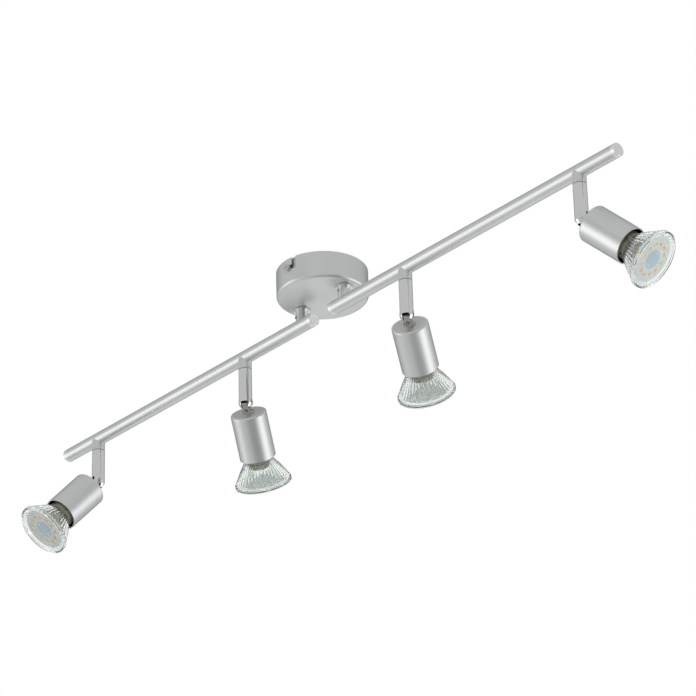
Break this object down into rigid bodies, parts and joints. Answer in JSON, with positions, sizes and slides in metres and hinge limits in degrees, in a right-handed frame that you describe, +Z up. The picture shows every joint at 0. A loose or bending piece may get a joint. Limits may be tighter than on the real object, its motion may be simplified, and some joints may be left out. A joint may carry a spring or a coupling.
{
  "type": "ceiling spotlight bar",
  "caption": "Round ceiling canopy carrying swivelling tubular arms with chromed stems and tilting cylindrical heads, each holding a twist-lock reflector lamp.",
  "frame": {"origin": "centre of the ceiling face of the bracket and canopy, on the canopy axis", "axes": "+Z up into the ceiling, X along the two arms at rest, Y along the bracket strip"},
  "size_m": [0.7378, 0.1412, 0.1576],
  "materials": {
    "silver_paint": "satin",
    "cap_paint": "satin",
    "galvanised_steel": "satin",
    "zinc_steel": "satin",
    "nickel": "polished",
    "ivory_plastic": "matte",
    "brass": "satin",
    "cable_sheath": "matte",
    "chrome": "polished",
    "ceramic": "satin",
    "lamp_base_plastic": "matte",
    "fluted_glass": "clear",
    "clear_glass": "clear",
    "led_board": "matte"
  },
  "bodies": {
    "mounting": {"canopy": "silver_paint", "ceiling_bracket": "galvanised_steel", "side_screws": "zinc_steel", "terminal_block": "ivory_plastic", "terminal_screws": "brass", "supply_wires": "cable_sheath"},
    "left_arm": {"left_tube": "silver_paint", "left_tube_caps": "cap_paint", "left_pivot_neck": "nickel", "left_pivot_grub_screw": "zinc_steel", "left_pivot_nipple": "brass", "left_pivot_nut": "zinc_steel", "left_collars": "silver_paint", "left_swivel_nipples": "brass", "left_arm_wires": "cable_sheath"},
    "right_arm": {"right_tube": "silver_paint", "right_tube_caps": "cap_paint", "right_pivot_neck": "nickel", "right_pivot_grub_screw": "zinc_steel", "right_pivot_nipple": "brass", "right_pivot_nut": "zinc_steel", "right_collars": "silver_paint", "right_swivel_nipples": "brass", "right_arm_wires": "cable_sheath"},
    "stem_body_1": {"stem_1": "chrome", "hinge_screw_1": "chrome"},
    "head_1": {"knuckle_1": "chrome", "shell_1": "silver_paint", "lamp_holder_1": "ceramic"},
    "lamp_1": {"lamp_base_1": "lamp_base_plastic", "lamp_glass_1": "fluted_glass", "lamp_cover_1": "clear_glass", "led_board_1": "led_board"},
    "stem_body_2": {"stem_2": "chrome", "hinge_screw_2": "chrome"},
    "head_2": {"knuckle_2": "chrome", "shell_2": "silver_paint", "lamp_holder_2": "ceramic"},
    "lamp_2": {"lamp_base_2": "lamp_base_plastic", "lamp_glass_2": "fluted_glass", "lamp_cover_2": "clear_glass", "led_board_2": "led_board"},
    "stem_body_3": {"stem_3": "chrome", "hinge_screw_3": "chrome"},
    "head_3": {"knuckle_3": "chrome", "shell_3": "silver_paint", "lamp_holder_3": "ceramic"},
    "lamp_3": {"lamp_base_3": "lamp_base_plastic", "lamp_glass_3": "fluted_glass", "lamp_cover_3": "clear_glass", "led_board_3": "led_board"},
    "stem_body_4": {"stem_4": "chrome", "hinge_screw_4": "chrome"},
    "head_4": {"knuckle_4": "chrome", "shell_4": "silver_paint", "lamp_holder_4": "ceramic"},
    "lamp_4": {"lamp_base_4": "lamp_base_plastic", "lamp_glass_4": "fluted_glass", "lamp_cover_4": "clear_glass", "led_board_4": "led_board"}
  },
  "joints": [
    {"name": "left_arm_swivel", "type": "hinge", "parent": "mounting", "child": "left_arm", "pos_m": [-0.0275, 0, -0.04], "axis": [0, 0, 1], "range_deg": [-90, 90]},
    {"name": "right_arm_swivel", "type": "hinge", "parent": "mounting", "child": "right_arm", "pos_m": [0.0275, 0, -0.04], "axis": [0, 0, 1], "range_deg": [-90, 90]},
    {"name": "stem_1_swivel", "type": "hinge", "parent": "left_arm", "child": "stem_body_1", "pos_m": [-0.311, 0, -0.06], "axis": [0, 0, 1], "range_deg": [-170, 170]},
    {"name": "head_1_tilt", "type": "hinge", "parent": "stem_body_1", "child": "head_1", "pos_m": [-0.311, 0, -0.0845], "axis": [-0.9511, 0.309, 0], "range_deg": [-42, 48]},
    {"name": "lamp_1_lock", "type": "hinge", "parent": "head_1", "child": "lamp_1", "pos_m": [-0.32139, -0.03199, -0.11961], "axis": [-0.2068, -0.6364, -0.7431], "range_deg": [0, 30]},
    {"name": "stem_2_swivel", "type": "hinge", "parent": "left_arm", "child": "stem_body_2", "pos_m": [-0.104, 0, -0.06], "axis": [0, 0, 1], "range_deg": [-170, 170]},
    {"name": "head_2_tilt", "type": "hinge", "parent": "stem_body_2", "child": "head_2", "pos_m": [-0.104, 0, -0.0845], "axis": [0.829, 0.5592, 0], "range_deg": [-46.5, 43.5]},
    {"name": "lamp_2_lock", "type": "hinge", "parent": "head_2", "child": "lamp_2", "pos_m": [-0.12429, 0.03008, -0.11687], "axis": [-0.4056, 0.6014, -0.6884], "range_deg": [0, 30]},
    {"name": "stem_3_swivel", "type": "hinge", "parent": "right_arm", "child": "stem_body_3", "pos_m": [0.104, 0, -0.06], "axis": [0, 0, 1], "range_deg": [-170, 170]},
    {"name": "head_3_tilt", "type": "hinge", "parent": "stem_body_3", "child": "head_3", "pos_m": [0.104, 0, -0.0845], "axis": [0.8387, 0.5446, 0], "range_deg": [-54.5, 35.5]},
    {"name": "lamp_3_lock", "type": "hinge", "parent": "head_3", "child": "lamp_3", "pos_m": [0.08198, 0.03391, -0.1115], "axis": [-0.4434, 0.6828, -0.5807], "range_deg": [0, 30]},
    {"name": "stem_4_swivel", "type": "hinge", "parent": "right_arm", "child": "stem_body_4", "pos_m": [0.311, 0, -0.06], "axis": [0, 0, 1], "range_deg": [-170, 170]},
    {"name": "head_4_tilt", "type": "hinge", "parent": "stem_body_4", "child": "head_4", "pos_m": [0.311, 0, -0.0845], "axis": [0.4226, -0.9063, 0], "range_deg": [-47, 43]},
    {"name": "lamp_4_lock", "type": "hinge", "parent": "head_4", "child": "lamp_4", "pos_m": [0.34414, 0.01545, -0.11655], "axis": [0.6628, 0.3091, -0.682], "range_deg": [0, 30]}
  ]
}
